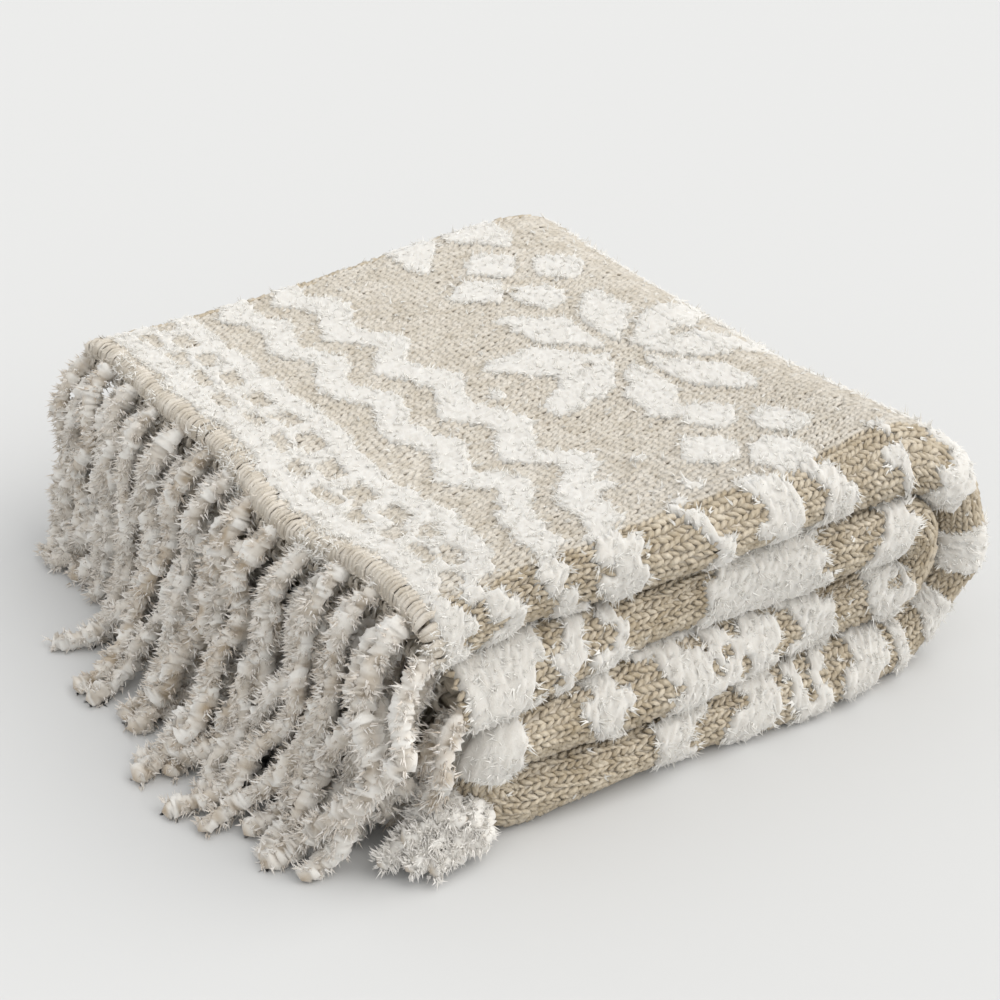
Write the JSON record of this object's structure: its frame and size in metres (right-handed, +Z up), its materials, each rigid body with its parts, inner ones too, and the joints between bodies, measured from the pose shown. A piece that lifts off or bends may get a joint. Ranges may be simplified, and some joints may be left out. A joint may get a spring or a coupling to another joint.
{
  "type": "folded knit throw blanket",
  "caption": "Jacquard-knit throw blanket folded into a soft stack with rounded folds, with fluffy zigzag and star figures and a thick feathery fringe along its short ends.",
  "frame": {"origin": "middle of the underside, on the surface that the folded throw rests on", "axes": "+Z up. X runs along the throw's length, from the fringed end at -X to the rounded fold at +X. Y runs across it, from the open lips at -Y to the back folds at +Y"},
  "size_m": [0.5158, 0.4696, 0.1593],
  "materials": {
    "greige_knit": "soft matte knit, greige yarn with off-white fluffy figures",
    "feather_yarn": "matte feathery pile yarn, off-white and pale greige"
  },
  "bodies": {
    "root": {"blanket": "greige_knit", "fringe_upper": "feather_yarn", "fringe_lower": "feather_yarn"}
  },
  "joints": []
}
